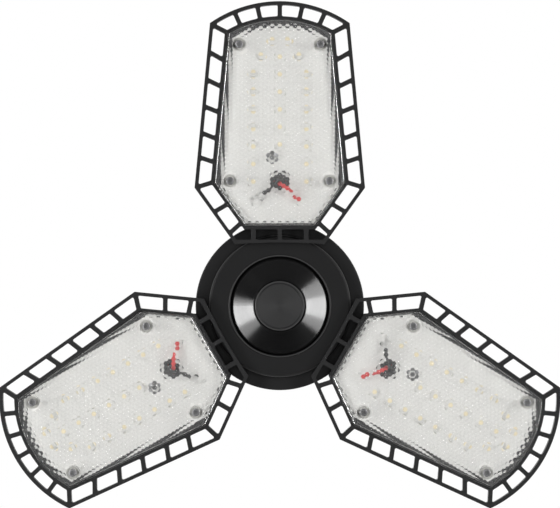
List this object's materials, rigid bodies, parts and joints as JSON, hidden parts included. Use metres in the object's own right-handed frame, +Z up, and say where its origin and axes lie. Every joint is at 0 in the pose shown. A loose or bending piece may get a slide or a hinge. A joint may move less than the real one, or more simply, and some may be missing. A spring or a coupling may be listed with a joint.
{
  "type": "deformable garage light",
  "caption": "Deformable garage light: a round hub on a screw base carries hinged LED panels, each a clear lens in a slotted bar frame, that fold up round the base.",
  "frame": {"origin": "tip of the screw base's centre contact", "axes": "+Z up along the hub's axis out of the base, -Z towards the lit face and the room, +Y along panel a"},
  "size_m": [0.3148, 0.2844, 0.1039],
  "materials": {
    "moulded_black": "moulded charcoal black, fine grain",
    "gloss_black": "dark, circular turning lines",
    "cast_black": "die cast, charcoal powder coat",
    "nickel": "nickel-plated brass",
    "contact": "bright",
    "black_glass": "vitreous black insulator",
    "clear": "clear prismatic polycarbonate",
    "white_board": "white solder mask on an aluminium-core board",
    "phosphor": "pale yellow phosphor in white packages",
    "rubber": "matte",
    "steel": "zinc-plated screws",
    "dark_steel": "blackened",
    "nylon": "natural nylon",
    "green_board": "green circuit board",
    "components": "moulded and wound electrical parts",
    "can": "sleeved can",
    "red_wire": "insulation",
    "black_wire": "insulation"
  },
  "bodies": {
    "hub": {"centre_contact": "contact", "base_insulator": "black_glass", "screw_shell": "nickel", "driver_housing": "moulded_black", "housing_screws": "steel", "hub_body": "moulded_black", "front_cover": "moulded_black", "cover_screws": "steel", "dish_ring": "gloss_black", "centre_cap": "moulded_black", "pivot_screws": "dark_steel", "pivot_tubes": "steel", "hinge_washers": "nylon", "driver_board": "green_board", "driver_board_screws": "steel", "transformer": "components", "electrolytic_capacitor": "can", "driver_parts": "components", "supply_leads": "black_wire", "hub_red_leads": "red_wire", "hub_black_leads": "black_wire"},
    "panel_a": {"panel_a_casting": "cast_black", "panel_a_led_board": "white_board", "panel_a_led_chips": "phosphor", "panel_a_lens_gasket": "rubber", "panel_a_lens": "clear", "panel_a_lens_screws": "steel", "panel_a_board_screw": "steel", "panel_a_lead_grommet": "rubber", "panel_a_red_lead": "red_wire", "panel_a_black_lead": "black_wire", "panel_a_duct_cover": "moulded_black", "panel_a_duct_cover_screws": "dark_steel"},
    "panel_b": {"panel_b_casting": "cast_black", "panel_b_led_board": "white_board", "panel_b_led_chips": "phosphor", "panel_b_lens_gasket": "rubber", "panel_b_lens": "clear", "panel_b_lens_screws": "steel", "panel_b_board_screw": "steel", "panel_b_lead_grommet": "rubber", "panel_b_red_lead": "red_wire", "panel_b_black_lead": "black_wire", "panel_b_duct_cover": "moulded_black", "panel_b_duct_cover_screws": "dark_steel"},
    "panel_c": {"panel_c_casting": "cast_black", "panel_c_led_board": "white_board", "panel_c_led_chips": "phosphor", "panel_c_lens_gasket": "rubber", "panel_c_lens": "clear", "panel_c_lens_screws": "steel", "panel_c_board_screw": "steel", "panel_c_lead_grommet": "rubber", "panel_c_red_lead": "red_wire", "panel_c_black_lead": "black_wire", "panel_c_duct_cover": "moulded_black", "panel_c_duct_cover_screws": "dark_steel"}
  },
  "joints": [
    {"name": "panel_a_fold", "type": "hinge", "parent": "hub", "child": "panel_a", "pos_m": [0, 0.054, -0.086], "axis": [1, 0, 0], "range_deg": [0, 90]},
    {"name": "panel_b_fold", "type": "hinge", "parent": "hub", "child": "panel_b", "pos_m": [0.04677, -0.027, -0.086], "axis": [-0.5, -0.866, 0], "range_deg": [0, 90]},
    {"name": "panel_c_fold", "type": "hinge", "parent": "hub", "child": "panel_c", "pos_m": [-0.04677, -0.027, -0.086], "axis": [-0.5, 0.866, 0], "range_deg": [0, 90]}
  ]
}
